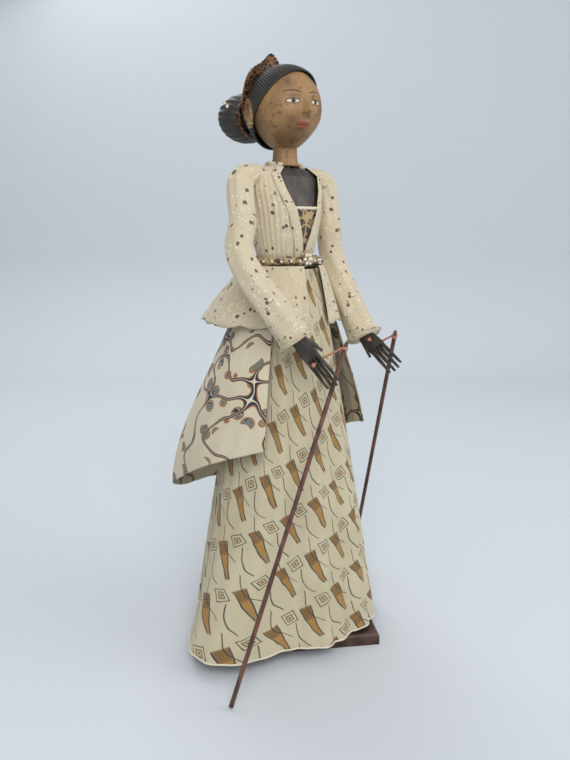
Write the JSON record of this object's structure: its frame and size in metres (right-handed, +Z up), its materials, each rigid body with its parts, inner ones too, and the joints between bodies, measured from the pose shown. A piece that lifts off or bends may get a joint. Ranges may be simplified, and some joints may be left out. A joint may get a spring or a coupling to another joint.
{
  "type": "rod puppet",
  "caption": "Javanese wooden rod puppet of a lady in a cutwork blouse and two batik wrappers, on a wooden stand.",
  "frame": {"origin": "middle of the plate's underside, on the central rod's axis", "axes": "+Z up along the central rod, -Y the way the puppet faces, -X the puppet's right"},
  "size_m": [0.359, 0.292, 0.697],
  "materials": {
    "dark_wood": "satin",
    "carved_wood": "satin",
    "face_paint": "satin",
    "hair_paint": "satin",
    "gilt_leather": "satin",
    "brass": "satin",
    "steel": "satin",
    "cotton": "matte",
    "batik": "matte",
    "string": "matte"
  },
  "bodies": {
    "stand": {"base_plate": "dark_wood", "post_screw": "steel"},
    "post": {"stand_post": "dark_wood"},
    "rod_and_head": {"central_rod": "dark_wood", "stop_ring": "dark_wood", "head": "face_paint", "hair_bun": "hair_paint", "hair_comb": "gilt_leather", "earring_R": "brass", "earring_L": "brass"},
    "trunk": {"torso": "carved_wood", "kebaya_bodice": "cotton", "kebaya_peplum": "cotton", "skirt": "batik", "overskirt": "batik", "shoulder_cord_R": "string", "shoulder_cord_L": "string"},
    "upper_arm_R": {"upper_arm_R": "carved_wood", "elbow_cord_R": "string", "sleeve_upper_R": "cotton"},
    "forearm_R": {"forearm_R": "carved_wood", "rod_tie_R": "string", "sleeve_lower_R": "cotton"},
    "control_rod_R": {"control_rod_R": "dark_wood"},
    "upper_arm_L": {"upper_arm_L": "carved_wood", "elbow_cord_L": "string", "sleeve_upper_L": "cotton"},
    "forearm_L": {"forearm_L": "carved_wood", "rod_tie_L": "string", "sleeve_lower_L": "cotton"},
    "control_rod_L": {"control_rod_L": "dark_wood"}
  },
  "joints": [
    {"name": "stand_turn", "type": "hinge", "parent": "stand", "child": "post", "pos_m": [0, 0, 0.014], "axis": [0, 0, 1], "continuous": true},
    {"name": "lift_off", "type": "slide", "parent": "post", "child": "rod_and_head", "axis": [0, 0, 1], "range_m": [0, 0.058]},
    {"name": "body_turn", "type": "hinge", "parent": "rod_and_head", "child": "trunk", "pos_m": [0, 0, 0.4], "axis": [0, 0, 1], "range_deg": [-12, 12]},
    {"name": "shoulder_R", "type": "hinge", "parent": "trunk", "child": "upper_arm_R", "pos_m": [-0.066, 0, 0.555], "axis": [-1, 0, 0], "range_deg": [0, 35], "deforming": ["sleeve_upper_R"]},
    {"name": "elbow_R", "type": "hinge", "parent": "upper_arm_R", "child": "forearm_R", "pos_m": [-0.092, -0.028, 0.466], "axis": [-1, 0, 0], "range_deg": [0, 30], "deforming": ["sleeve_lower_R"]},
    {"name": "rod_swing_R", "type": "hinge", "parent": "forearm_R", "child": "control_rod_R", "pos_m": [-0.01305, -0.1068, 0.37215], "axis": [-1, 0, 0], "range_deg": [-5, 5]},
    {"name": "shoulder_L", "type": "hinge", "parent": "trunk", "child": "upper_arm_L", "pos_m": [0.066, 0, 0.555], "axis": [-1, 0, 0], "range_deg": [0, 35], "deforming": ["sleeve_upper_L"]},
    {"name": "elbow_L", "type": "hinge", "parent": "upper_arm_L", "child": "forearm_L", "pos_m": [0.074, -0.014, 0.456], "axis": [-1, 0, 0], "range_deg": [0, 30], "deforming": ["sleeve_lower_L"]},
    {"name": "rod_swing_L", "type": "hinge", "parent": "forearm_L", "child": "control_rod_L", "pos_m": [0.08273, -0.10352, 0.37513], "axis": [-1, 0, 0], "range_deg": [-5, 5]}
  ]
}
